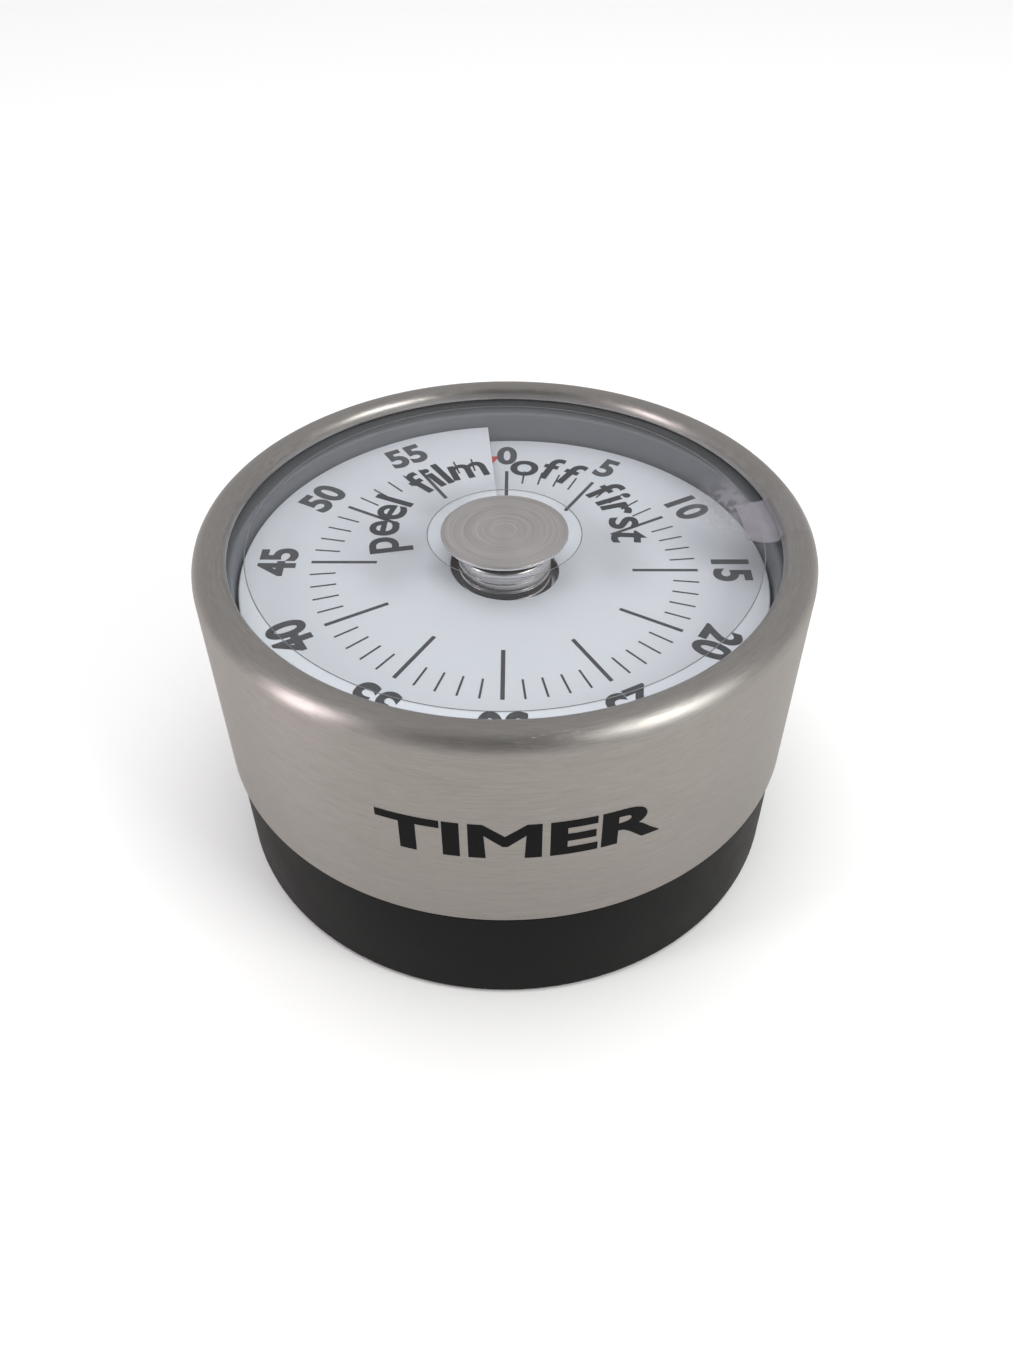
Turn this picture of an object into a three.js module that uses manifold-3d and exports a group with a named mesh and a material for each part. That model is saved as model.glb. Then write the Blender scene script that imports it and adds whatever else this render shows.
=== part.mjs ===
// A magnetic wind-up kitchen timer, in millimetres. The origin is at the middle of its underside and +Z is up.
// A steel shell with a clear lens turns on a fixed black base. The dial rises one helical turn, and a red disc
// comes out of its slit as the shell is turned clockwise. A clockwork movement runs the shell back to zero.
// Angles around the axis are clockwise from the back, as a clock's are.

import * as THREE from 'three';
import { mergeVertices } from 'three/addons/utils/BufferGeometryUtils.js';
import Module from 'manifold-3d';

const wasm = await Module();
wasm.setup();

// Clearances
const runningGap = 0.3; // between a turning piece and a fixed one
const seatGap = 0.05; // between two pieces that rest on each other
const boreGap = 0.05; // between a pin or screw and its hole, on the radius

// Outer size
const shellRadius = 30;
const overallHeight = 35.8;
const baseHeight = 12.8; // floor to the shell's lower edge

// Steel shell
const shellSheet = 0.6;
const shellFillet = 1.9;
const rimWidth = 3.3;
const rimRoll = 1;
const rimDrop = 1.35; // rim's top to the lower edge of its roll

// Lens, liner, film and cap
const lensRecess = 1.5;
const lensThickness = 1.5;
const lensEdgeGap = 0.5;
const linerWall = 1.2;
const linerLip = 4.2; // height of the lip that frames the dial
const lipWidth = 2.8;
const filmInset = 1.6; // rim's inner edge to the film
const filmHole = 7.5;
const filmThickness = 0.12;
const capRadius = 6.24;
const capThickness = 0.4;
const capEdge = 0.1;
const spigotRadius = 1.9;
const spigotLength = 3;

// Dial and red disc
const dialDepth = 5.5; // rim's top to the middle of the dial
const dialRise = 1.9; // how far the dial climbs in one turn
const dialHole = 5.43;
const dialSheet = 0.3;
const dialRim = 1.2;
const dialBand = 5.35; // the thick rim's width, outside the thin sheet
const skirtWall = 1.2;
const skirtInset = 0.7; // dial's edge to its skirt
const slitAngle = -6;
const slitWidth = 1.2; // degrees
const discInset = 0.6; // thick rim to the red disc
const discSheet = 0.15;
const discGap = 0.15;

// Hub
const neckRadius = 4.6;
const hubFlangeRadius = 7.5;
const hubFlange = 0.6;
const boreEnd = 0.5; // left over at the bottom of a blind bore
const pinRadius = 0.5;

// Base
const baseInset = 0.4; // shell to base, on the radius
const baseChamfer = 0.35;
const baseWall = 3;
const floorThickness = 3.4;
const collarHeight = 3;
const collarWidth = 3.2;
const collarDepth = 1.6; // how deep the collar reaches down inside
const footHeight = 0.2;
const footDepth = 0.65;
const footInset = 2.6;
const footWidth = 7;
const magnetRadius = 11;
const magnetThickness = 1.2;
const cupWall = 0.8;
const bossRadius = 2.4;
const bossHeight = 1;

// Plates, pillars and screws
const plateThickness = 0.8;
const plateGap = 0.9; // plates to the dial's skirt
const postInset = 2.2; // plates' edge to pillars and screws
const pillarRadius = 1.9;
const tenonRadius = 1.2;
const screwRadius = 1;
const screwLength = 2.4;
const headRadius = 1.8;
const headHeight = 0.8;
const slotWidth = 0.4;
const pillarAngles = [314, 242, 142];
const baseScrewAngles = [98, 338, 218];

// Arbors and gears: each wheel drives the next arbor's pinion
const arborRadius = 0.8;
const pivotRadius = 0.4;
const mainRadius = 1.6;
const bushWall = 1;
const shoulder = 0.1;
const levelStart = 0.6; // lower plate to the lowest wheel
const levelPitch = 1.9;
const wheelThickness = 0.7;
const greatThickness = 1;
const pinionReach = 0.3; // pinion past each face of its wheel
const greatTeeth = 44;
const secondTeeth = 40;
const thirdTeeth = 36;
const escapeTeeth = 24;
const pinionTeeth = 10;
const escapePinionTeeth = 9;
const trainModules = 46.8; // great wheel modules across the plates' radius
const trainShare = 0.8; // the later gears' module over the great wheel's
const thirdOrbit = 29; // arbors' distances from the middle, in great wheel modules
const balanceOrbit = 32;
const escapeTip = 9.2;
const balanceReach = 15.2;
const spokeCount = 4;
const toothRoot = 0.25; // half a tooth's share of the pitch, at its root and at its tip
const toothTip = 0.08;
const wheelAddendum = 0.9; // tooth heights above and below the pitch circle, in modules
const wheelDedendum = 1.1;
const pinionAddendum = 0.7;
const pinionDedendum = 1.2;
const escapeDepth = 2; // escape wheel's tooth, in great wheel modules
const escapeLead = 0.2; // where its tip starts and ends, as shares of the pitch
const escapeLand = 0.35;
const palletTurn = 0.7; // each pallet pin's turn from the line of centres, in radians
const palletPinRadius = 0.3;
const palletThickness = 0.49;
const clutchSpread = 2.6; // clutch spring's radius over the main arbor's

// Mainspring, gong and hammer
const barrelModules = 20;
const barrelWall = 0.6;
const springTurns = 5;
const springStrip = 0.3;
const gongInset = 4.35; // dial's skirt to the gong
const gongWall = 0.8;
const gongHole = 5.2;
const gongDepth = 4.2;
const gongLift = 1.6;
const gongDrop = 0.5; // hub flange to the gong
const gongPostOrbit = 11;
const gongPostRadius = 1.8;
const camRadius = 3.9;
const camThickness = 1;
const notchShare = 0.25; // notch's depth over the alarm cam's radius
const hammerPostInset = 7.2; // gong's edge to the hammer's post
const hammerPostAngle = 231.3;
const tailGap = 1.2; // alarm cam to the middle of the hammer's tail
const tailAngle = 258.7;
const hammerGap = 0.7; // hammer's head to the gong
const hammerHeadRadius = 1.3;
const hammerAzimuth = 192;
const leverThickness = 0.8;
const leverWidth = 1.4;
const wireRadius = 0.2;
const wireTurns = 2;
const wirePitch = 0.6;

// Facets
const wideFacets = 56;
const midFacets = 26;
const smallFacets = 10;
const wireFacets = 5;
const wireSteps = 12;
const stripSteps = 14;
const barFacets = 4;
const filletFacets = 3;
const rollFacets = 2;
const mergeDistance = 1e-3;
const cutPast = 1; // how far a cutting shape passes the surface it cuts

// Heights, from the top down
const lensTop = overallHeight - lensRecess;
const lensBottom = lensTop - lensThickness;
const dialMiddle = overallHeight - dialDepth;
const dialLow = dialMiddle - dialRise / 2;
const discBottom = dialLow - dialSheet - discGap - discSheet;
const hubBottom = discBottom - runningGap - hubFlange;
const gongTop = hubBottom - gongDrop;
const gongBottom = gongTop - gongDepth;
const upperTop = gongBottom - gongLift;
const upperBottom = upperTop - plateThickness;

// Heights, from the floor up
const floorTop = footHeight + floorThickness;
const collarTop = baseHeight - runningGap + collarHeight;
const lowerBottom = floorTop + bossHeight + seatGap;
const lowerTop = lowerBottom + plateThickness;
const levels = [0, 1, 2].map((step) => lowerTop + levelStart + step * levelPitch);
const barrelBottom = levels[2] + greatThickness + runningGap + springStrip + seatGap;

// Radii, from the outside in
const shellInner = shellRadius - shellSheet;
const rimInner = shellRadius - rimWidth;
const linerOuter = shellInner - boreGap;
const linerInner = linerOuter - linerWall;
const lipInner = linerOuter - lipWidth;
const lensRadius = shellInner - lensEdgeGap;
const dialRadius = lipInner - runningGap;
const rimStart = dialRadius - dialBand;
const discRadius = rimStart - discInset;
const filmRadius = rimInner - filmInset;
const skirtOuter = dialRadius - skirtInset;
const skirtInner = skirtOuter - skirtWall;
const gongRadius = skirtInner - gongInset;
const baseRadius = shellRadius - baseInset;
const footOuter = baseRadius - footInset;
const footInner = footOuter - footWidth;
const collarOuter = linerInner - runningGap;
const plateRadius = skirtInner - plateGap;
const postOrbit = plateRadius - postInset;

// Gear sizes and the arbors' places
const greatModule = plateRadius / trainModules;
const trainModule = greatModule * trainShare;
const toRadians = THREE.MathUtils.degToRad;
const middle = new THREE.Vector2(0, 0);

// The point at a distance from the middle that lies a given reach from another point, counterclockwise of it.
function neighbour(from, orbit, reach) {
  const start = from.length();
  const turn = Math.acos((start ** 2 + orbit ** 2 - reach ** 2) / (2 * start * orbit));
  return new THREE.Vector2(orbit, 0).rotateAround(middle, from.angle() + turn);
}

const secondPlace = new THREE.Vector2(greatModule * (greatTeeth + pinionTeeth) / 2, 0);
const thirdPlace = neighbour(secondPlace, greatModule * thirdOrbit,
  trainModule * (secondTeeth + pinionTeeth) / 2);
const escapePlace = neighbour(thirdPlace, greatModule * thirdOrbit,
  trainModule * (thirdTeeth + escapePinionTeeth) / 2);
const balancePlace = neighbour(escapePlace, greatModule * balanceOrbit, greatModule * balanceReach);
const trainPlaces = [secondPlace, thirdPlace, escapePlace, balancePlace];

// ---- Shapes ----

// A point on a circle at a clockwise angle from the back.
function clockPoint(radius, degrees) {
  return new THREE.Vector2(radius * Math.sin(toRadians(degrees)), radius * Math.cos(toRadians(degrees)));
}

// A solid turned about Z from a profile of [radius, height] points, the outside running upwards.
function turned(profile, facets) {
  const points = profile.map(([radius, height]) => new THREE.Vector2(radius, height));
  return new THREE.LatheGeometry(points, facets).rotateX(Math.PI / 2);
}

function disc(radius, bottom, top, facets) {
  return turned([[0, bottom], [radius, bottom], [radius, top], [0, top]], facets);
}

function ring(inner, outer, bottom, top, facets) {
  return turned([[inner, bottom], [outer, bottom], [outer, top], [inner, top], [inner, bottom]], facets);
}

// Points of a quarter round, from one angle to another in degrees, about a centre.
function arc(centreRadius, centreHeight, radius, from, to, steps) {
  return Array.from({ length: steps + 1 }, (unused, index) => {
    const angle = toRadians(from + (to - from) * index / steps);
    return [centreRadius + radius * Math.cos(angle), centreHeight + radius * Math.sin(angle)];
  });
}

function extruded(shape, bottom, top) {
  const depth = top - bottom;
  const options = { depth, bevelEnabled: false, curveSegments: barFacets };
  return new THREE.ExtrudeGeometry(shape, options).translate(0, 0, bottom);
}

function placed(geometry, place) {
  return geometry.translate(place.x, place.y, 0);
}

// A section of (radius, height) points swept clockwise about Z. Points above flatBelow climb by rise in a turn.
function swept(section, from, sweep, rise, flatBelow) {
  const steps = Math.round(wideFacets * sweep / 360);
  const geometry = new THREE.ExtrudeGeometry(section, { depth: sweep, steps, bevelEnabled: false });
  const position = geometry.attributes.position;
  for (let index = 0; index < position.count; index += 1) {
    const turn = position.getZ(index);
    const height = position.getY(index);
    const place = clockPoint(position.getX(index), from + turn);
    const climb = height > flatBelow ? rise * turn / 360 : 0;
    position.setXYZ(index, place.x, place.y, height + climb);
  }
  return geometry;
}

// A closed geometry as a manifold solid.
function solid(geometry) {
  const bare = geometry.clone();
  bare.deleteAttribute('normal');
  bare.deleteAttribute('uv');
  const merged = mergeVertices(bare, mergeDistance);
  const vertProperties = new Float32Array(merged.attributes.position.array);
  const triVerts = new Uint32Array(merged.index.array);
  return new wasm.Manifold(new wasm.Mesh({ numProp: 3, vertProperties, triVerts }));
}

function geometryOf(body) {
  const mesh = body.getMesh();
  const geometry = new THREE.BufferGeometry();
  geometry.setAttribute('position', new THREE.BufferAttribute(new Float32Array(mesh.vertProperties), 3));
  geometry.setIndex(new THREE.BufferAttribute(new Uint32Array(mesh.triVerts), 1));
  return geometry;
}

function joined(first, ...others) {
  return geometryOf(others.reduce((body, other) => body.add(solid(other)), solid(first)));
}

function cut(first, ...others) {
  return geometryOf(others.reduce((body, other) => body.subtract(solid(other)), solid(first)));
}

// A circle's corners, clockwise from the back.
function circlePoints(radius, facets, place = middle) {
  const turn = 360 / facets;
  return Array.from({ length: facets }, (unused, index) => clockPoint(radius, index * turn).add(place));
}

// The radius of a faceted bore whose flats clear a pin at every angle.
function boreRadius(pin) {
  return (pin + boreGap) / Math.cos(Math.PI / smallFacets);
}

function hole(radius, place) {
  return new THREE.Path(circlePoints(radius, smallFacets, place));
}

// A cutting shape for a pin's hole right through a piece.
function throughHole(pin, bottom, top, place) {
  return placed(disc(boreRadius(pin), bottom - cutPast, top + cutPast, smallFacets), place);
}

// A flat bar with round ends from one point to another.
function bar(from, to, width, bottom, top) {
  const length = from.distanceTo(to);
  const half = width / 2;
  const shape = new THREE.Shape();
  shape.absarc(0, 0, half, Math.PI / 2, Math.PI * 1.5, false);
  shape.absarc(length, 0, half, -Math.PI / 2, Math.PI / 2, false);
  const turn = to.clone().sub(from).angle();
  return placed(extruded(shape, bottom, top).rotateZ(turn), from);
}

// ---- Gears ----

// Straight-flanked clock teeth, thinned so that a meshed pair keeps play at every angle.
function gearShape(teeth, module, addendum, dedendum, phase) {
  const pitchRadius = module * teeth / 2;
  const corners = [
    [pitchRadius - dedendum * module, -toothRoot], [pitchRadius + addendum * module, -toothTip],
    [pitchRadius + addendum * module, toothTip], [pitchRadius - dedendum * module, toothRoot],
  ];
  const points = [];
  for (let tooth = 0; tooth < teeth; tooth += 1) {
    for (const [radius, share] of corners) {
      const angle = phase + (tooth + share) * Math.PI * 2 / teeth;
      points.push(new THREE.Vector2(radius * Math.cos(angle), radius * Math.sin(angle)));
    }
  }
  return new THREE.Shape(points);
}

// The turn that sets a gap of the pinion against a tooth of its wheel.
function meshPhase(wheelPlace, wheelTeeth, pinionPlace, teeth) {
  const direction = pinionPlace.clone().sub(wheelPlace).angle();
  return direction + Math.PI + direction * wheelTeeth / teeth - Math.PI / teeth;
}

// A wheel on its arbor, lightened by round windows.
function wheel(shape, rootRadius, bore, bottom, thickness) {
  const windowOrbit = (rootRadius + bore) / 2 + bore / 4;
  const windowRadius = (rootRadius - bore) / 4;
  shape.holes.push(hole(bore, middle));
  for (let index = 0; index < spokeCount; index += 1) {
    shape.holes.push(hole(windowRadius, clockPoint(windowOrbit, index * 360 / spokeCount)));
  }
  return extruded(shape, bottom, bottom + thickness);
}

function trainWheel(teeth, module, bore, bottom, thickness) {
  const rootRadius = module * (teeth / 2 - wheelDedendum);
  const shape = gearShape(teeth, module, wheelAddendum, wheelDedendum, 0);
  return wheel(shape, rootRadius, bore, bottom, thickness);
}

// An arbor between the plates with a pivot at each end.
function plainArbor(place) {
  const low = lowerTop + shoulder;
  const high = upperBottom - shoulder;
  const profile = [
    [0, lowerBottom + shoulder], [pivotRadius, lowerBottom + shoulder], [pivotRadius, low], [arborRadius, low],
    [arborRadius, high], [pivotRadius, high], [pivotRadius, upperTop - shoulder], [0, upperTop - shoulder],
  ];
  return placed(turned(profile, smallFacets), place);
}

// An arbor with the pinion that its wheel drives cut on it.
function pinionArbor(place, teeth, module, wheelPlace, wheelTeeth, level, thickness) {
  const phase = meshPhase(wheelPlace, wheelTeeth, place, teeth);
  const shape = gearShape(teeth, module, pinionAddendum, pinionDedendum, phase);
  const pinion = placed(extruded(shape, level - pinionReach, level + thickness + pinionReach), place);
  return joined(plainArbor(place), pinion);
}

// ---- Turning shell ----

function makeSteelShell() {
  const filletRadius = shellRadius - shellFillet;
  const filletHeight = overallHeight - shellFillet;
  const rollRadius = rimInner + rimRoll;
  const rollHeight = overallHeight - rimRoll;
  const rollEnd = overallHeight - rimDrop;
  const profile = [
    [shellInner, baseHeight], [shellRadius, baseHeight],
    ...arc(filletRadius, filletHeight, shellFillet, 0, 90, filletFacets),
    ...arc(rollRadius, rollHeight, rimRoll, 90, 180, rollFacets),
    [rimInner, rollEnd], [rimInner + shellSheet, rollEnd],
    ...arc(rollRadius, rollHeight, rimRoll - shellSheet, 180, 90, 1),
    ...arc(filletRadius, filletHeight, shellFillet - shellSheet, 90, 0, 1),
    [shellInner, baseHeight],
  ];
  return turned(profile, wideFacets);
}

function makeLiner() {
  const bottom = baseHeight + runningGap;
  const top = lensBottom - seatGap;
  const profile = [
    [linerInner, bottom], [linerOuter, bottom], [linerOuter, top], [lipInner, top], [lipInner, top - linerLip],
    [linerInner, top - linerLip], [linerInner, bottom],
  ];
  return turned(profile, wideFacets);
}

function makeLens() {
  return ring(spigotRadius + boreGap, lensRadius, lensBottom, lensTop, wideFacets);
}

function makeFilm() {
  const bottom = lensTop + seatGap;
  return ring(filmHole, filmRadius, bottom, bottom + filmThickness, wideFacets);
}

function makeCap() {
  const bottom = lensTop + seatGap;
  const top = bottom + capThickness;
  const profile = [
    [0, bottom - spigotLength], [spigotRadius, bottom - spigotLength],
    [spigotRadius, bottom], [capRadius, bottom],
    [capRadius, top - capEdge], [capRadius - capEdge, top], [0, top],
  ];
  return turned(profile, midFacets);
}

// The cross pin's hole is at the middle of the arbor's end in the hub.
const hubTop = lensBottom - seatGap;
const spigotBore = hubTop - spigotLength + lensThickness + seatGap - boreEnd;
const arborTop = spigotBore - boreEnd * 2;
const pinHeight = (hubBottom + arborTop) / 2;

function crossBar(radius, length) {
  return new THREE.CylinderGeometry(radius, radius, length, smallFacets).translate(0, 0, pinHeight);
}

function makeDriveHub() {
  const body = turned([
    [0, hubBottom], [hubFlangeRadius, hubBottom], [hubFlangeRadius, hubBottom + hubFlange],
    [neckRadius, hubBottom + hubFlange], [neckRadius, hubTop], [0, hubTop],
  ], midFacets);
  return cut(
    body,
    disc(spigotRadius + boreGap, spigotBore, hubTop + cutPast, midFacets),
    disc(mainRadius + boreGap, hubBottom - cutPast, arborTop + boreEnd / 2, midFacets),
    crossBar(pinRadius + boreGap, neckRadius * 3),
  );
}

function makeHubPin() {
  return crossBar(pinRadius, neckRadius * 2 - runningGap * 2);
}

function makeRedDisc() {
  const top = dialLow - dialSheet - discGap;
  const inner = neckRadius + boreGap * 3;
  const section = new THREE.Shape([
    new THREE.Vector2(inner, top - discSheet), new THREE.Vector2(discRadius, top - discSheet),
    new THREE.Vector2(discRadius, top), new THREE.Vector2(inner, top),
  ]);
  return swept(section, slitAngle + slitWidth, 360 - slitWidth * 2, dialRise, 0);
}

function makeMainArbor() {
  const collarTopHeight = levels[2] - seatGap;
  const collarRadius = mainRadius + bushWall;
  const bottom = lowerBottom - shoulder * 2;
  const body = turned([
    [0, bottom], [mainRadius, bottom], [mainRadius, collarTopHeight - wheelThickness],
    [collarRadius, collarTopHeight - wheelThickness], [collarRadius, collarTopHeight],
    [mainRadius, collarTopHeight], [mainRadius, arborTop], [0, arborTop],
  ], midFacets);
  return cut(body, crossBar(pinRadius + boreGap, neckRadius));
}

function makeGreatWheel() {
  return trainWheel(greatTeeth, greatModule, boreRadius(mainRadius), levels[2], greatThickness);
}

function makeClutchSpring() {
  const bottom = levels[2] + greatThickness + seatGap;
  const inner = boreRadius(mainRadius);
  const outer = mainRadius * clutchSpread;
  return turned([
    [inner, bottom + springStrip / 2], [outer, bottom], [outer, bottom + springStrip / 2],
    [inner, bottom + springStrip], [inner, bottom + springStrip / 2],
  ], smallFacets);
}

// A disc whose one notch lets the hammer's tail drop when the shell is back at zero.
function makeAlarmCam() {
  const bottom = upperTop + runningGap;
  const body = ring(boreRadius(mainRadius), camRadius, bottom, bottom + camThickness, midFacets);
  const notch = new THREE.BoxGeometry(camRadius, wheelThickness, camThickness * 3);
  return cut(body, notch.translate(-camRadius * (1.5 - notchShare), 0, bottom));
}

// ---- Fixed dial and base ----

function makeDial() {
  const under = dialLow - dialSheet;
  const rimUnder = dialLow - dialRim;
  const foot = collarTop + seatGap;
  const section = new THREE.Shape([
    [dialHole, under], [rimStart, under], [rimStart + runningGap, rimUnder], [skirtInner, rimUnder],
    [skirtInner, foot], [skirtOuter, foot], [skirtOuter, rimUnder], [dialRadius, rimUnder],
    [dialRadius, dialLow], [dialHole, dialLow],
  ].map(([radius, height]) => new THREE.Vector2(radius, height)));
  return swept(section, slitAngle + slitWidth / 2, 360 - slitWidth, dialRise, foot);
}

function makeBaseHousing() {
  const pocketRadius = magnetRadius + cupWall + boreGap * 3;
  const pocketTop = footHeight + magnetThickness + cupWall + boreGap * 3;
  const grooveTop = footHeight + footDepth;
  const shoulderHeight = baseHeight - runningGap;
  const collarInner = collarOuter - collarWidth;
  const innerRadius = baseRadius - baseWall;
  const body = turned([
    [0, pocketTop], [pocketRadius, pocketTop], [pocketRadius, footHeight], [footInner - boreGap, footHeight],
    [footInner - boreGap, grooveTop + seatGap], [footOuter + boreGap, grooveTop + seatGap],
    [footOuter + boreGap, footHeight], [baseRadius - baseChamfer, footHeight],
    [baseRadius, footHeight + baseChamfer], [baseRadius, shoulderHeight], [collarOuter, shoulderHeight],
    [collarOuter, collarTop], [collarInner, collarTop], [collarInner, collarTop - collarDepth],
    [innerRadius, collarTop - collarDepth - collarWidth / 2], [innerRadius, floorTop], [0, floorTop],
  ], wideFacets);
  const bossTop = floorTop + bossHeight;
  const places = baseScrewAngles.map((angle) => clockPoint(postOrbit, angle));
  const bosses = places.map((place) =>
    placed(disc(bossRadius, floorTop - seatGap, bossTop, smallFacets), place));
  const holes = places.map((place) =>
    placed(disc(boreRadius(screwRadius), bossTop - screwLength, bossTop + cutPast, smallFacets), place));
  return cut(joined(body, ...bosses), ...holes);
}

function makeFootRing() {
  return ring(footInner, footOuter, 0, footHeight + footDepth, wideFacets);
}

function makeMagnetCup() {
  const outer = magnetRadius + cupWall;
  const bottom = footHeight + boreGap;
  const under = bottom + magnetThickness + boreGap;
  return turned([
    [0, under], [magnetRadius + boreGap, under], [magnetRadius + boreGap, bottom], [outer, bottom],
    [outer, under + cupWall], [0, under + cupWall],
  ], midFacets);
}

function makeMagnet() {
  return disc(magnetRadius, footHeight + boreGap, footHeight + boreGap + magnetThickness, midFacets);
}

// ---- Plates, pillars and screws ----

function plate(bottom, holes) {
  const shape = new THREE.Shape(circlePoints(plateRadius, wideFacets).reverse());
  shape.holes.push(hole(boreRadius(mainRadius + bushWall), middle));
  trainPlaces.forEach((place) => shape.holes.push(hole(boreRadius(pivotRadius), place)));
  holes.forEach(([radius, place]) => shape.holes.push(hole(boreRadius(radius), place)));
  return extruded(shape, bottom, bottom + plateThickness);
}

function makeLowerPlate() {
  return plate(lowerBottom, [
    ...pillarAngles.map((angle) => [tenonRadius, clockPoint(postOrbit, angle)]),
    ...baseScrewAngles.map((angle) => [screwRadius, clockPoint(postOrbit, angle)]),
  ]);
}

function makeUpperPlate() {
  return plate(upperBottom, [
    ...pillarAngles.map((angle) => [screwRadius, clockPoint(postOrbit, angle)]),
    ...gongPostAngles.map((angle) => [tenonRadius, clockPoint(gongPostOrbit, angle)]),
    [tenonRadius, hammerPost],
  ]);
}

function makeBush(bottom) {
  return ring(boreRadius(mainRadius), mainRadius + bushWall, bottom, bottom + plateThickness, smallFacets);
}

function makePillar(angle) {
  const low = lowerTop + seatGap;
  const high = upperBottom - seatGap;
  const body = turned([
    [0, lowerBottom], [tenonRadius, lowerBottom], [tenonRadius, low], [pillarRadius, low], [pillarRadius, high],
    [boreRadius(screwRadius), high], [boreRadius(screwRadius), high - screwLength], [0, high - screwLength],
  ], smallFacets);
  return placed(body, clockPoint(postOrbit, angle));
}

// A slotted cheese-head screw whose head rests on a surface.
function screw(surface, orbit, angle) {
  const seat = surface + seatGap;
  const tip = surface - screwLength;
  const top = seat + headHeight;
  const body = turned([
    [0, tip], [screwRadius, tip], [screwRadius, seat], [headRadius, seat], [headRadius, top], [0, top],
  ], smallFacets);
  const slot = new THREE.BoxGeometry(headRadius * 3, slotWidth, headHeight).translate(0, 0, top);
  return placed(cut(body, slot), clockPoint(orbit, angle));
}

// ---- Mainspring and barrel ----

const barrelRadius = greatModule * barrelModules;
const barrelTop = upperBottom - seatGap;

function makeBarrel() {
  const inner = barrelRadius - barrelWall;
  const hole = mainRadius + runningGap;
  return turned([
    [hole, barrelBottom], [barrelRadius, barrelBottom], [barrelRadius, barrelTop], [inner, barrelTop],
    [inner, barrelBottom + barrelWall], [hole, barrelBottom + barrelWall], [hole, barrelBottom],
  ], midFacets);
}

function makeMainspring() {
  const start = mainRadius + runningGap;
  const end = barrelRadius - barrelWall - springStrip - runningGap;
  const steps = springTurns * stripSteps;
  const edge = (offset) => Array.from({ length: steps + 1 }, (unused, index) => {
    const share = index / steps;
    return clockPoint(start + (end - start) * share + offset, share * springTurns * 360);
  });
  const shape = new THREE.Shape([...edge(0), ...edge(springStrip).reverse()]);
  return extruded(shape, barrelBottom + barrelWall + seatGap, barrelTop - seatGap);
}

// ---- Escapement ----

function makeEscapeWheel() {
  const tip = greatModule * escapeTip;
  const root = tip - greatModule * escapeDepth;
  const points = [];
  for (let tooth = 0; tooth < escapeTeeth; tooth += 1) {
    points.push(clockPoint(root, tooth * 360 / escapeTeeth));
    points.push(clockPoint(tip, (tooth + escapeLead) * 360 / escapeTeeth));
    points.push(clockPoint(tip, (tooth + escapeLand) * 360 / escapeTeeth));
  }
  const shape = new THREE.Shape(points.reverse());
  return placed(wheel(shape, root, boreRadius(arborRadius), levels[1], wheelThickness), escapePlace);
}

// Two pins reach down beside the escape wheel from a plate over it.
function makePalletLever() {
  const low = levels[1] + wheelThickness + runningGap;
  const high = low + palletThickness;
  const pin = palletPinRadius;
  const reach = greatModule * escapeTip + runningGap + boreGap + pin;
  const toBalance = balancePlace.clone().sub(escapePlace).angle();
  const ends = [-palletTurn, palletTurn].map((turn) =>
    new THREE.Vector2(reach, 0).rotateAround(middle, toBalance + turn).add(escapePlace));
  const arms = ends.map((end) => bar(balancePlace, end, leverWidth, low, high));
  const pins = ends.map((end) => placed(disc(pin, levels[1], high, smallFacets), end));
  const hub = placed(disc(arborRadius * 2, low, high, smallFacets), balancePlace);
  const bore = throughHole(arborRadius, low, high, balancePlace);
  return cut(joined(hub, ...arms, ...pins), bore);
}

function makeBalanceWheel() {
  const outer = greatModule * (balanceOrbit - barrelModules) - runningGap * 4;
  const bottom = barrelBottom + runningGap;
  const top = bottom + wheelThickness;
  const reach = outer - leverWidth / 2;
  const rim = ring(outer - leverWidth, outer, bottom, top, midFacets);
  const spoke = bar(new THREE.Vector2(-reach, 0), new THREE.Vector2(reach, 0), leverWidth, bottom, top);
  const hub = disc(arborRadius * 2, bottom, top, smallFacets);
  const bore = throughHole(arborRadius, bottom, top, middle);
  return placed(cut(joined(rim, spoke, hub), bore), balancePlace);
}

// ---- Gong and hammer ----

const gongPostAngles = [60, 150];

function makeGong() {
  const inner = gongRadius - gongWall;
  const under = gongTop - gongWall;
  const body = turned([
    [gongHole, under], [inner - gongWall, under], [inner, under - gongWall], [inner, gongBottom],
    [gongRadius, gongBottom], [gongRadius, gongTop - gongWall], [gongRadius - gongWall, gongTop],
    [gongHole, gongTop], [gongHole, under],
  ], midFacets);
  const holes = gongPostAngles.map((angle) =>
    throughHole(screwRadius, under, gongTop, clockPoint(gongPostOrbit, angle)));
  return cut(body, ...holes);
}

function makeGongPost(angle) {
  const low = upperTop + seatGap;
  const high = gongTop - gongWall - seatGap;
  const bore = boreRadius(screwRadius);
  const body = turned([
    [0, upperBottom], [tenonRadius, upperBottom], [tenonRadius, low], [gongPostRadius, low],
    [gongPostRadius, high], [bore, high], [bore, high - screwLength], [0, high - screwLength],
  ], smallFacets);
  return placed(body, clockPoint(gongPostOrbit, angle));
}

const hammerPost = clockPoint(gongRadius - hammerPostInset, hammerPostAngle);
const hammerTail = clockPoint(camRadius + tailGap, tailAngle);
const leverBottom = upperTop + runningGap;
const leverTop = leverBottom + leverThickness;
const springBottom = leverTop + runningGap;
const postTop = gongTop - gongWall - runningGap * 2;

function makeHammerPost() {
  const low = upperTop + seatGap;
  return placed(turned([
    [0, upperBottom], [tenonRadius, upperBottom],
    [tenonRadius, low], [screwRadius, low], [screwRadius, postTop],
    [0, postTop],
  ], smallFacets), hammerPost);
}

const headOrbit = gongRadius - gongWall - hammerGap - hammerHeadRadius;
const headPlace = clockPoint(headOrbit, hammerAzimuth);

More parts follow.
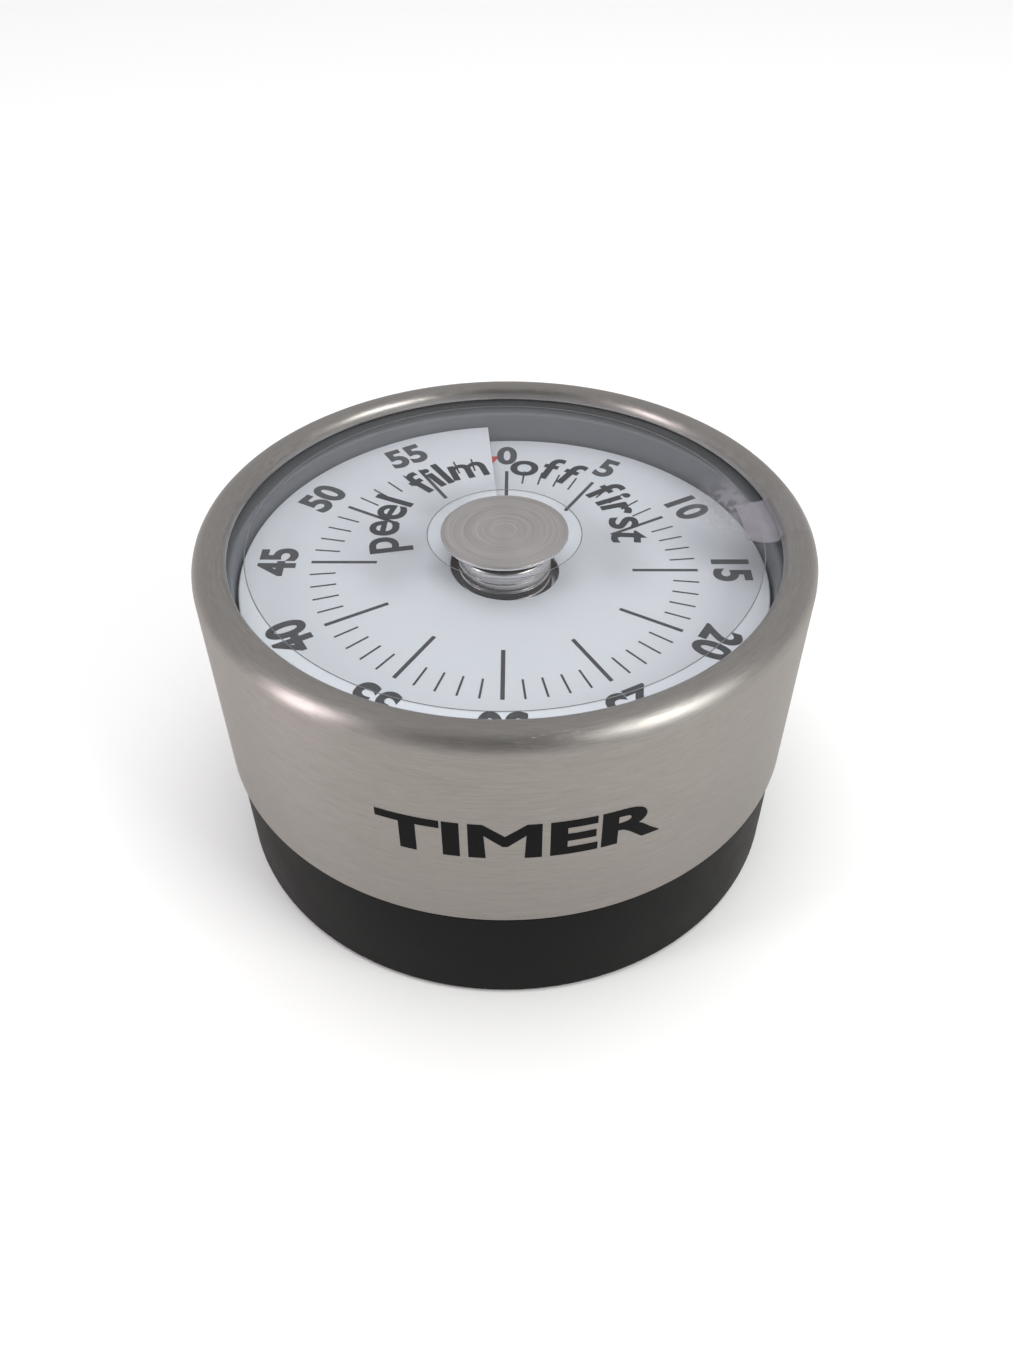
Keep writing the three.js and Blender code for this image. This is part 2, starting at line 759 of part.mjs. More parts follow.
function makeHammerLever() {
  const hub = placed(disc(screwRadius * 2, leverBottom, leverTop, smallFacets), hammerPost);
  const bore = throughHole(screwRadius, leverBottom, leverTop, hammerPost);
  const tail = bar(hammerPost, hammerTail, leverWidth, leverBottom, leverTop);
  const arm = bar(hammerPost, headPlace, leverWidth, leverBottom, leverTop);
  return cut(joined(hub, tail, arm), bore);
}

function makeHammerHead() {
  const bottom = leverTop + seatGap;
  return placed(disc(hammerHeadRadius, bottom, bottom + gongDepth / 2, smallFacets), headPlace);
}

function makeHammerSpring() {
  const orbit = screwRadius + runningGap + wireRadius;
  const steps = wireTurns * wireSteps;
  const points = Array.from({ length: steps + 1 }, (unused, index) => {
    const place = clockPoint(orbit, index * 360 / wireSteps);
    return new THREE.Vector3(place.x, place.y, springBottom + wireRadius + wirePitch * index / wireSteps);
  });
  const section = new THREE.Shape(circlePoints(wireRadius, wireFacets).reverse());
  const extrudePath = new THREE.CatmullRomCurve3(points);
  const geometry = new THREE.ExtrudeGeometry(section, { steps, extrudePath });
  return placed(geometry, hammerPost);
}

// ---- Assembly ----

const finishes = {
  steel: { color: 0xb0aaa5, roughness: 0.35, metalness: 1 },
  chrome: { color: 0xc8c6c6, roughness: 0.1, metalness: 1 },
  brass: { color: 0xb8954a, roughness: 0.4, metalness: 1 },
  springSteel: { color: 0x6f7378, roughness: 0.35, metalness: 1 },
  blackPlastic: { color: 0x17181a, roughness: 0.5, metalness: 0 },
  greyPlastic: { color: 0x64676c, roughness: 0.5, metalness: 0 },
  dialWhite: { color: 0xd4d9df, roughness: 0.6, metalness: 0 },
  red: { color: 0xc4202a, roughness: 0.5, metalness: 0 },
  clear: { color: 0xf2f5f7, roughness: 0.05, metalness: 0, transparent: true, opacity: 0.35 },
  rubber: { color: 0x202022, roughness: 0.85, metalness: 0 },
  magnetBlack: { color: 0x3a3a3c, roughness: 0.6, metalness: 0.3 },
};

const timer = new THREE.Group();

function addPiece(name, geometry, finish) {
  const piece = new THREE.Mesh(geometry, new THREE.MeshStandardMaterial(finishes[finish]));
  piece.name = name;
  timer.add(piece);
}

addPiece('base_housing', makeBaseHousing(), 'blackPlastic');
addPiece('foot_ring', makeFootRing(), 'rubber');
addPiece('magnet_cup', makeMagnetCup(), 'steel');
addPiece('magnet', makeMagnet(), 'magnetBlack');
addPiece('lower_plate', makeLowerPlate(), 'brass');
addPiece('upper_plate', makeUpperPlate(), 'brass');
addPiece('lower_bush', makeBush(lowerBottom), 'brass');
addPiece('upper_bush', makeBush(upperBottom), 'brass');
pillarAngles.forEach((angle, index) => {
  addPiece(`pillar_${index + 1}`, makePillar(angle), 'brass');
  addPiece(`plate_screw_${index + 1}`, screw(upperTop, postOrbit, angle), 'steel');
});
baseScrewAngles.forEach((angle, index) => {
  addPiece(`base_screw_${index + 1}`, screw(lowerTop, postOrbit, angle), 'steel');
});
addPiece('spring_barrel', makeBarrel(), 'steel');
addPiece('mainspring', makeMainspring(), 'springSteel');
addPiece('gong', makeGong(), 'steel');
gongPostAngles.forEach((angle, index) => {
  addPiece(`gong_post_${index + 1}`, makeGongPost(angle), 'brass');
  addPiece(`gong_screw_${index + 1}`, screw(gongTop, gongPostOrbit, angle), 'steel');
});
addPiece('hammer_post', makeHammerPost(), 'steel');
addPiece('hammer_spring', makeHammerSpring(), 'springSteel');
addPiece('dial', makeDial(), 'dialWhite');

addPiece('steel_shell', makeSteelShell(), 'steel');
addPiece('liner_ring', makeLiner(), 'greyPlastic');
addPiece('lens', makeLens(), 'clear');
addPiece('protective_film', makeFilm(), 'clear');
addPiece('cap', makeCap(), 'steel');
addPiece('drive_hub', makeDriveHub(), 'chrome');
addPiece('hub_pin', makeHubPin(), 'steel');
addPiece('red_disc', makeRedDisc(), 'red');
addPiece('main_arbor', makeMainArbor(), 'steel');
addPiece('great_wheel', makeGreatWheel(), 'brass');
addPiece('clutch_spring', makeClutchSpring(), 'springSteel');
addPiece('alarm_cam', makeAlarmCam(), 'brass');

addPiece('second_arbor', pinionArbor(secondPlace, pinionTeeth, greatModule, middle, greatTeeth, levels[2],
  greatThickness), 'steel');
addPiece('second_wheel', placed(trainWheel(secondTeeth, trainModule, boreRadius(arborRadius), levels[1],
  wheelThickness), secondPlace), 'brass');
addPiece('third_arbor', pinionArbor(thirdPlace, pinionTeeth, trainModule, secondPlace, secondTeeth, levels[1],
  wheelThickness), 'steel');
addPiece('third_wheel', placed(trainWheel(thirdTeeth, trainModule, boreRadius(arborRadius), levels[0],
  wheelThickness), thirdPlace), 'brass');
addPiece('escape_arbor', pinionArbor(escapePlace, escapePinionTeeth, trainModule, thirdPlace, thirdTeeth,
  levels[0], wheelThickness), 'steel');
addPiece('escape_wheel', makeEscapeWheel(), 'brass');
addPiece('balance_arbor', plainArbor(balancePlace), 'steel');
addPiece('pallet_lever', makePalletLever(), 'steel');
addPiece('balance_wheel', makeBalanceWheel(), 'brass');
addPiece('hammer_lever', makeHammerLever(), 'steel');
addPiece('hammer_head', makeHammerHead(), 'brass');

export default timer;
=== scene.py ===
import math
import bmesh
import bpy
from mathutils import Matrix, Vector


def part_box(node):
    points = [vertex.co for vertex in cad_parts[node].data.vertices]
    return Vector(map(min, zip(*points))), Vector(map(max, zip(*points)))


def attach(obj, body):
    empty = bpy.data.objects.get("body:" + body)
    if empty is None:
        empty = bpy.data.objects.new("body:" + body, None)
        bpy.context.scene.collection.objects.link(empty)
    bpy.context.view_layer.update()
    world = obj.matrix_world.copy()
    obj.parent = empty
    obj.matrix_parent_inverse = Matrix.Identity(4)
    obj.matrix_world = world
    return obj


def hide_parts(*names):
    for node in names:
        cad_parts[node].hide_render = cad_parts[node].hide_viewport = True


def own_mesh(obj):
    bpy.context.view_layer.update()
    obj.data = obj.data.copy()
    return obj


# A magnetic wind-up kitchen timer. Sizes in the dictionaries are in millimetres, unless a note says otherwise.
# Dial angles are in degrees, clockwise from the zero at the back.

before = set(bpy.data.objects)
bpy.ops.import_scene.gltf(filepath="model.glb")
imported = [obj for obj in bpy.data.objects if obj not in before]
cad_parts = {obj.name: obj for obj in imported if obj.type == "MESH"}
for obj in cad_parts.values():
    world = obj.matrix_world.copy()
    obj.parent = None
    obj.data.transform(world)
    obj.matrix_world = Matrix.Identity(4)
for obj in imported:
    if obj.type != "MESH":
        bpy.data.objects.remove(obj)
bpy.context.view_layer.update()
mm = 0.001
roundSteps, middleSteps, smallSteps = 224, 120, 40  # sides of a large, middling and small turned piece
print("frame loaded")


class Wire:
    # wraps a socket, so that sums and products of sockets add their Math nodes
    def __init__(self, home, socket):
        self.home = home
        self.socket = socket

    def maths(self, operation, first, second=None):
        node = self.home.add("ShaderNodeMath", {"operation": operation})
        self.home.feed(node.inputs[0], first)
        if second is not None:
            self.home.feed(node.inputs[1], second)
        return Wire(self.home, node.outputs[0])

    def __add__(self, other):
        return self.maths("ADD", self, other)

    def __radd__(self, other):
        return self.maths("ADD", other, self)

    def __sub__(self, other):
        return self.maths("SUBTRACT", self, other)

    def __rsub__(self, other):
        return self.maths("SUBTRACT", other, self)

    def __mul__(self, other):
        return self.maths("MULTIPLY", self, other)

    def __rmul__(self, other):
        return self.maths("MULTIPLY", other, self)

    def __truediv__(self, other):
        return self.maths("DIVIDE", self, other)

    def __mod__(self, other):
        return self.maths("MODULO", self, other)

    def root(self):
        return self.maths("SQRT", self, None)

    def ramp(self, low, high):
        # 0 below low and 1 above high, smooth between
        node = self.home.add("ShaderNodeMapRange", {"clamp": True, "interpolation_type": "SMOOTHSTEP"},
                             Value=self, From_Min=low, From_Max=high)
        return Wire(self.home, node.outputs["Result"])


class Nodes:
    # a node tree, filled one node at a time
    def __init__(self, tree):
        self.tree = tree

    def feed(self, socket, value):
        if isinstance(value, Wire):
            value = value.socket
        if isinstance(value, bpy.types.NodeSocket):
            self.tree.links.new(value, socket)
        elif isinstance(value, tuple) and socket.type == "RGBA":
            socket.default_value = (*value, 1)
        else:
            socket.default_value = value

    def add(self, kind, settings=None, **sockets):
        # settings first, then the sockets by name, with _ for a blank
        node = self.tree.nodes.new(kind)
        for key, value in (settings or {}).items():
            setattr(node, key, value)
        for key, value in sockets.items():
            self.feed(node.inputs[key.replace("_", " ")], value)
        return node


class Shade(Nodes):
    # one material; lengths in its patterns are in millimetres
    def __init__(self, name):
        self.material = bpy.data.materials.new(name)
        self.material.use_nodes = True
        super().__init__(self.material.node_tree)
        self.tree.nodes.clear()
        self.out = self.add("ShaderNodeOutputMaterial")
        parts = self.add("ShaderNodeSeparateXYZ", Vector=self.add("ShaderNodeTexCoord").outputs["Object"])
        self.x, self.y, self.z = (Wire(self, socket) / mm for socket in parts.outputs)
        self.radius = (self.x * self.x + self.y * self.y).root()

    def noise(self, x, y, z, detail=2.0, roughness=0.5):
        point = self.add("ShaderNodeCombineXYZ", X=x, Y=y, Z=z).outputs[0]
        node = self.add("ShaderNodeTexNoise", Vector=point, Scale=1.0, Detail=detail, Roughness=roughness)
        return Wire(self, node.outputs["Fac"])

    def grain(self, size, detail=3.0, roughness=0.6):
        # even noise whose spots are about size across
        return self.noise(self.x / size, self.y / size, self.z / size, detail, roughness)

    def blend(self, share, first, second):
        node = self.add("ShaderNodeMix", {"data_type": "RGBA"})
        for index, value in ((0, share), (6, first), (7, second)):
            self.feed(node.inputs[index], value)
        return node.outputs[2]

    def bump(self, height, strength, depth):
        node = self.add("ShaderNodeBump", Strength=strength, Distance=depth * mm, Height=height)
        return node.outputs["Normal"]

    def surface(self, **sockets):
        node = self.add("ShaderNodeBsdfPrincipled", **sockets)
        self.feed(self.out.inputs["Surface"], node.outputs[0])
        return self.material

    def seeThrough(self, share, **sockets):
        # share is how much of the surface itself shows, over what passes straight through
        clear = self.add("ShaderNodeBsdfTransparent", Color=(1.0, 1.0, 1.0))
        solid = self.add("ShaderNodeBsdfPrincipled", **sockets)
        mix = self.add("ShaderNodeMixShader")
        for index, value in enumerate((share, clear.outputs[0], solid.outputs[0])):
            self.feed(mix.inputs[index], value)
        self.feed(self.out.inputs["Surface"], mix.outputs[0])
        return self.material

    def gloss(self, ior):
        # mirror share on the way in; the way out adds none
        fresnel = Wire(self, self.add("ShaderNodeFresnel", IOR=ior).outputs[0])
        return fresnel * (1 - Wire(self, self.add("ShaderNodeNewGeometry").outputs["Backfacing"]))


def brushedSteel():
    # the grain runs round the shell, so it changes quickly along the profile and slowly round the axis
    look = {"light": (0.475, 0.452, 0.434), "dark": (0.355, 0.334, 0.319), "grain": 13.0, "run": 0.55,
            "scratch": 26.0, "roughness": 0.25, "spread": 0.16}
    shade = Shade("brushedSteel")
    along = shade.z - shade.radius
    fine = shade.noise(shade.x * look["run"], shade.y * look["run"], along * look["grain"], 3.0, 0.7)
    broad = shade.noise(shade.x * 0.09, shade.y * 0.09, along * 1.7)
    scratch = shade.noise(shade.x * 0.9, shade.y * 0.9, along * look["scratch"], 1.0).ramp(0.66, 0.78)
    cloud = shade.grain(8.0)
    tone = (fine - 0.5) * 1.5 + broad * 0.3 + scratch * 0.25 + 0.3
    return shade.surface(Base_Color=shade.blend(tone.ramp(0.0, 1.0), look["dark"], look["light"]), Metallic=1.0,
                         Anisotropic=0.6, Anisotropic_Rotation=0.25,
                         Roughness=look["roughness"] + fine * look["spread"] + cloud * 0.06 - scratch * 0.06,
                         Normal=shade.bump(fine + scratch * 0.4, 0.4, 0.03))


def spunSteel():
    # rings turned about the axis, as a lathe leaves them
    look = {"light": (0.74, 0.705, 0.695), "dark": (0.5, 0.475, 0.47), "rings": 7.5, "roughness": 0.25}
    shade = Shade("spunSteel")
    rings = shade.noise(shade.radius * look["rings"], shade.x * 0.12, shade.y * 0.12, 3.0, 0.7)
    bands = shade.noise(shade.radius * 1.3, shade.x * 0.1, shade.y * 0.1, 1.0)
    tone = (rings - 0.5) * 1.5 + bands * 0.4 + 0.3
    return shade.surface(Base_Color=shade.blend(tone.ramp(0.0, 1.0), look["dark"], look["light"]), Metallic=1.0,
                         Anisotropic=0.7, Anisotropic_Rotation=0.25, Roughness=look["roughness"] + rings * 0.14,
                         Normal=shade.bump(rings + bands * 0.5, 0.35, 0.03))


def chromePlate():
    shade = Shade("chromePlate")
    turned = shade.noise(shade.x * 0.2, shade.y * 0.2, shade.z * 7.0)
    return shade.surface(Base_Color=shade.blend(turned, (0.50, 0.48, 0.48), (0.68, 0.66, 0.66)), Metallic=1.0,
                         Roughness=0.2 + turned * 0.14, Normal=shade.bump(turned, 0.25, 0.02))


def moulded(name, dark, light, roughness, speckSize, depth, sheen=0.5):
    # fine moulded texture over slow changes of tone and gloss
    shade = Shade(name)
    speck = shade.grain(speckSize)
    cloud = shade.grain(6.0)
    return shade.surface(Base_Color=shade.blend(speck * 0.5 + cloud * 0.5, dark, light), Specular_IOR_Level=sheen,
                         Roughness=roughness + (speck - 0.5) * 0.16 + (cloud - 0.5) * 0.14,
                         Normal=shade.bump(speck, depth, 0.02))


def clearPlastic():
    shade = Shade("clearPlastic")
    haze = shade.grain(3.0).ramp(0.45, 0.85)
    return shade.seeThrough(shade.gloss(1.35) * 0.8 + haze * 0.012, Base_Color=(0.9, 0.93, 0.96),
                            Roughness=0.04 + haze * 0.05)


def filmClear():
    # nearly clear, with milky patches where the adhesive has let go beside the tab
    look = {"tabX": 24.0, "tabY": 5.0, "reach": 6.5}
    shade = Shade("filmClear")
    across = shade.x - look["tabX"]
    down = shade.y - look["tabY"]
    near = 1 - (across * across + down * down).root().ramp(1.5, look["reach"])
    patches = shade.grain(1.1, 2.0, 0.45).ramp(0.5, 0.58)
    wrinkle = shade.grain(1.1)
    return shade.seeThrough(shade.gloss(1.3) * 0.6 + near * (0.3 - patches * 0.24) + 0.012,
                            Base_Color=(0.33, 0.32, 0.36), Roughness=0.16 + wrinkle * 0.2,
                            Normal=shade.bump(wrinkle, 0.12, 0.1))


def filmTabClear():
    shade = Shade("filmTabClear")
    wrinkle = shade.grain(2.0)
    inside = 1 - shade.radius.ramp(26.2, 27.0)
    return shade.seeThrough(shade.gloss(1.3) * 0.5 + inside * (0.1 + wrinkle * 0.3) + 0.03,
                            Base_Color=(0.4, 0.38, 0.43), Roughness=0.2 + wrinkle * 0.2,
                            Normal=shade.bump(wrinkle, 0.2, 0.1))


def filmEdge():
    shade = Shade("filmEdge")
    spots = shade.grain(0.8)
    return shade.seeThrough(0.4 + spots * 0.35, Base_Color=(0.22, 0.23, 0.25), Roughness=0.15 + spots * 0.1)


def rolledMetal(name, dark, light, roughness):
    shade = Shade(name)
    rolled = shade.noise(shade.x * 6.0, shade.y * 0.5, shade.z * 6.0, 3.0, 0.6)
    tarnish = shade.grain(3.0)
    return shade.surface(Base_Color=shade.blend(rolled * 0.4 + tarnish * 0.6, dark, light), Metallic=1.0,
                         Roughness=roughness + rolled * 0.14, Normal=shade.bump(rolled, 0.15, 0.02))


finishes = {
    "shellSteel": brushedSteel(), "capSteel": spunSteel(), "chrome": chromePlate(),
    "black": moulded("blackPlastic", (0.004, 0.004, 0.0045), (0.007, 0.007, 0.0078), 0.44, 0.25, 0.3, 0.13),
    "grey": moulded("greyPlastic", (0.115, 0.122, 0.138), (0.15, 0.157, 0.172), 0.5, 0.4, 0.2),
    "white": moulded("dialWhite", (0.63, 0.665, 0.72), (0.67, 0.70, 0.755), 0.62, 0.5, 0.1),
    "ink": moulded("dialInk", (0.042, 0.044, 0.05), (0.066, 0.068, 0.074), 0.55, 0.3, 0.1, 0.2),
    "mark": moulded("markInk", (0.004, 0.004, 0.005), (0.008, 0.008, 0.009), 0.42, 0.3, 0.1, 0.08),
    "red": moulded("redSheet", (0.50, 0.018, 0.026), (0.62, 0.03, 0.036), 0.5, 0.6, 0.1),
    "rubber": moulded("footRubber", (0.012, 0.012, 0.013), (0.024, 0.024, 0.025), 0.8, 0.25, 0.6),
    "magnet": moulded("magnetBlack", (0.035, 0.035, 0.037), (0.07, 0.068, 0.068), 0.62, 0.6, 0.5),
    "clear": clearPlastic(), "film": filmClear(), "filmTab": filmTabClear(), "filmEdge": filmEdge(),
    "brass": rolledMetal("movementBrass", (0.45, 0.27, 0.08), (0.62, 0.41, 0.15), 0.3),
    "steel": rolledMetal("movementSteel", (0.33, 0.33, 0.34), (0.47, 0.47, 0.48), 0.28),
    "spring": rolledMetal("springSteel", (0.11, 0.13, 0.17), (0.2, 0.21, 0.25), 0.3),
}
print("finishes made")


def clockPoint(radius, degrees, height=0.0):
    angle = math.radians(degrees)
    return Vector((radius * math.sin(angle), radius * math.cos(angle), height))


def rounded(corners, steps=7):
    # the outline through (radius, height, rounding) corners
    points = []
    for index, corner in enumerate(corners):
        here = Vector(corner[:2])
        if corner[2] == 0:
            points.append(tuple(here))
            continue
        back = (Vector(corners[index - 1][:2]) - here).normalized()
        on = (Vector(corners[(index + 1) % len(corners)][:2]) - here).normalized()
        half = back.angle(on) / 2
        centre = here + (back + on).normalized() * corner[2] / math.sin(half)
        start = here + back * corner[2] / math.tan(half) - centre
        end = here + on * corner[2] / math.tan(half) - centre
        sweep = start.angle_signed(end)
        for step in range(steps + 1):
            turn = -sweep * step / steps
            points.append((centre.x + start.x * math.cos(turn) - start.y * math.sin(turn),
                           centre.y + start.x * math.sin(turn) + start.y * math.cos(turn)))
    return points


def makeObject(name, mesh, finish, sharpAngle=32):
    mesh.materials.clear()
    mesh.materials.append(finishes[finish])
    mesh.shade_smooth()
    mesh.set_sharp_from_angle(angle=math.radians(sharpAngle))
    mesh.name = name
    piece = bpy.data.objects.new(name, mesh)
    bpy.context.scene.collection.objects.link(piece)
    return piece


def settle(piece, body, slot, *nodes):
    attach(piece, body)
    if nodes:
        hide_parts(*nodes)
    return piece


def closedMesh(name, build):
    # a mesh in metres from a bmesh in millimetres, its faces turned outwards
    work = bmesh.new()
    build(work)
    bmesh.ops.remove_doubles(work, verts=work.verts, dist=1e-5)
    bmesh.ops.recalc_face_normals(work, faces=work.faces)
    bmesh.ops.scale(work, vec=(mm, mm, mm), verts=work.verts)
    mesh = bpy.data.meshes.new(name)
    work.to_mesh(mesh)
    work.free()
    return mesh


def addRings(work, rings, wrap):
    # skins equal rings of points, one to the next
    rows = [[work.verts.new(point) for point in ring] for ring in rings]
    pairs = list(zip(rows, rows[1:]))
    if wrap:
        pairs.append((rows[-1], rows[0]))
    else:
        work.faces.new(rows[0])
        work.faces.new(rows[-1])
    for one, other in pairs:
        for index in range(len(one)):
            after = (index + 1) % len(one)
            corners = [one[index], one[after], other[after], other[index]]
            work.faces.new(corners)


def lathe(work, outline, steps=roundSteps, centre=(0.0, 0.0)):
    # turns a closed outline of (radius, height) about an upright axis
    shift = Vector((centre[0], centre[1], 0))
    addRings(work, [[shift + clockPoint(radius, 360 * step / steps, height) for radius, height in outline]
                    for step in range(steps)], True)


def turnedPiece(name, corners, finish, steps=roundSteps):
    mesh = closedMesh(name, lambda work: lathe(work, rounded(corners), steps))
    return makeObject(name, mesh, finish)


# Camera
cameraLook = {"place": (2.754, -86.594, 94.676), "turn": (47.596, 0.3368, 1.4626), "lens": 28.57}


def addCamera(look):
    lens = bpy.data.cameras.new("camera")
    lens.lens = look["lens"]
    lens.sensor_width = 36
    lens.clip_start = 0.005
    camera = bpy.data.objects.new("camera", lens)
    camera.location = Vector(look["place"]) * mm
    camera.rotation_euler = [math.radians(angle) for angle in look["turn"]]
    bpy.context.scene.collection.objects.link(camera)
    bpy.context.scene.camera = camera


addCamera(cameraLook)

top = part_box("steel_shell")[1].z / mm

# Steel shell: rolled sheet with a soft shoulder and a lip turned down inside the opening
shellSizes = {"radius": 30.0, "sheet": 0.6, "bottom": 12.8, "shoulder": 1.9, "opening": 26.7, "roll": 1.0,
              "drop": 1.35}


def makeShell(size):
    radius, opening = size["radius"], size["opening"]
    inner = radius - size["sheet"]
    lip = top - size["drop"]
    under = top - size["sheet"]
    corners = [
        (radius, size["bottom"], 0.15), (radius, top, size["shoulder"]), (opening, top, size["roll"]),
        (opening, lip, 0.12), (opening + size["sheet"], lip, 0.12), (opening + size["sheet"], under, 0.2),
        (inner, under, size["shoulder"] - size["sheet"]), (inner, size["bottom"], 0.12),
    ]
    return turnedPiece("steelShell", corners, "shellSteel")


settle(makeShell(shellSizes), "shell", "shell_steel", "steel_shell")

# Grey liner whose lip frames the dial
linerSizes = {"outer": 29.35, "inner": 28.15, "lip": 26.55, "bottom": 13.1, "top": 32.75, "lipHeight": 4.2}


def makeLiner(size):
    lipFoot = size["top"] - size["lipHeight"]
    corners = [
        (size["outer"], size["bottom"], 0.2), (size["outer"], size["top"], 0.2), (size["lip"], size["top"], 0.35),
        (size["lip"], lipFoot, 0.2), (size["inner"], lipFoot, 0.1), (size["inner"], size["bottom"], 0.2),
    ]
    return turnedPiece("linerRing", corners, "grey")


settle(makeLiner(linerSizes), "shell", "liner_grey", "liner_ring")

# Clear lens, held under the shell's lip
lensSizes = {"radius": 28.9, "hole": 1.95, "bottom": 32.8, "top": 34.3}


def makeLens(size):
    corners = [
        (size["radius"], size["bottom"], 0.2), (size["radius"], size["top"], 0.2),
        (size["hole"], size["top"], 0.1), (size["hole"], size["bottom"], 0.1),
    ]
    return turnedPiece("lensPlate", corners, "clear")


settle(makeLens(lensSizes), "shell", "lens_clear", "lens")

# Protective film on the lens, with a pull tab that lies over the rim
filmSizes = {"inner": 7.5, "outer": 25.1, "bottom": 34.35, "top": 34.47, "edge": 0.1, "edgeLift": 0.005,
             "edgeRise": 0.03, "edgeSlope": 0.03}
tabSizes = {"angle": 85.5, "width": 7.0, "thickness": 0.09, "across": 16, "between": 6, "taper": 0.25,
            "taperSteps": 5,
            "path": [(23.4, 34.51), (25.6, 34.53), (26.45, 34.75), (26.72, 35.25), (27.2, 35.72), (28.0, 35.86),
                     (28.8, 35.74), (29.4, 35.36)]}


def makeFilm(size):
    corners = [(size["inner"], size["bottom"], 0), (size["outer"], size["bottom"], 0),
               (size["outer"], size["top"], 0), (size["inner"], size["top"], 0)]
    return turnedPiece("protectiveFilm", corners, "film")


def makeFilmEdges(size):
    def build(work):
        low, high = size["top"] + size["edgeLift"], size["top"] + size["edgeRise"]
        slope = size["edgeSlope"]
        for radius in (size["inner"], size["outer"] - size["edge"]):
            outer = radius + size["edge"]
            lathe(work, [(radius, low), (outer, low), (outer - slope, high), (radius + slope, high)])
    return makeObject("filmEdges", closedMesh("filmEdges", build), "filmEdge")


def smoothPath(points, steps):
    # Catmull-Rom curve through (radius, height) points
    ends = [2 * Vector(points[0]) - Vector(points[1])] + [Vector(point) for point in points]
    ends.append(2 * ends[-1] - ends[-2])
    path = []
    for a, b, c, d in zip(ends, ends[1:], ends[2:], ends[3:]):
        for step in range(steps):
            t = step / steps
            path.append(0.5 * (2 * b + (c - a) * t + (2 * a - 5 * b + 4 * c - d) * t ** 2
                               + (3 * b - a - 3 * c + d) * t ** 3))
    path.append(ends[-2])
    return path


def makeFilmTab(size):
    path = smoothPath(size["path"], size["between"])
    across = size["across"]
    sections = []
    for index, point in enumerate(path):
        ahead = path[min(index + 1, len(path) - 1)] - path[max(index - 1, 0)]
        out = Vector((-ahead.y, ahead.x)).normalized() * size["thickness"]
        rows = []
        for layer in (0, 1):
            for step in range(across + 1):
                side = step / across - 0.5 if layer == 0 else 0.5 - step / across
                # narrower towards the end that lies on the film
                reach = size["width"] * (1 - size["taper"] * max(0, 1 - index / size["taperSteps"]) ** 2)
                spot = point + out * layer
                degrees = size["angle"] + math.degrees(side * reach / spot.x)
                rows.append(clockPoint(spot.x, degrees, spot.y))
        sections.append(rows)
    return makeObject("filmTab", closedMesh("filmTab", lambda work: addRings(work, sections, False)), "filmTab")


settle(makeFilm(filmSizes), "shell", "film_clear", "protective_film")
settle(makeFilmEdges(filmSizes), "shell", "film_clear")
settle(makeFilmTab(tabSizes), "shell", "film_clear")
print("shell, liner, lens and film made")

# Dial: one turn of a slow screw, with a slit that the red disc comes out of
dialSizes = {"hole": 5.43, "radius": 26.25, "low": 29.35, "rise": 1.9, "sheet": 0.3, "rim": 1.2,
             "rimStart": 20.9, "rimSlope": 0.3, "skirtOuter": 25.55, "skirtInner": 24.35, "foot": 15.55,
             "start": -5.4, "end": 354.1, "steps": 300}


def dialHeight(degrees):
    climb = (degrees - dialSizes["start"]) % 360
    return dialSizes["low"] + dialSizes["rise"] * climb / 360


def makeDial(size):
    rim = -size["rim"]
    skirt = rim - 1  # any depth below the rim marks the skirt's foot, which stays level
    corners = rounded([
        (size["hole"], -size["sheet"], 0.05), (size["hole"], 0, 0.08), (size["radius"], 0, 0.2),
        (size["radius"], rim, 0.1), (size["skirtOuter"], rim, 0), (size["skirtOuter"], skirt, 0),
        (size["skirtInner"], skirt, 0), (size["skirtInner"], rim, 0),
        (size["rimStart"] + size["rimSlope"], rim, 0), (size["rimStart"], -size["sheet"], 0),
    ], 4)
    sections = []
    for step in range(size["steps"] + 1):
        degrees = size["start"] + (size["end"] - size["start"]) * step / size["steps"]
        surface = size["low"] + size["rise"] * (degrees - size["start"]) / 360
        sections.append([clockPoint(radius, degrees, surface + drop if drop > (rim + skirt) / 2 else size["foot"])
                         for radius, drop in corners])
    return makeObject("dialFace", closedMesh("dialFace", lambda work: addRings(work, sections, False)), "white")


settle(makeDial(dialSizes), "base", "dial_white", "dial")

# A tick for each minute from 0 to 58; the slit takes the place of the last
tickSizes = {"count": 59, "outer": 19.35, "minorInner": 16.8, "majorInner": 12.8, "minorWidth": 0.2,
             "majorWidth": 0.39, "depth": 0.05, "turn": -0.9}


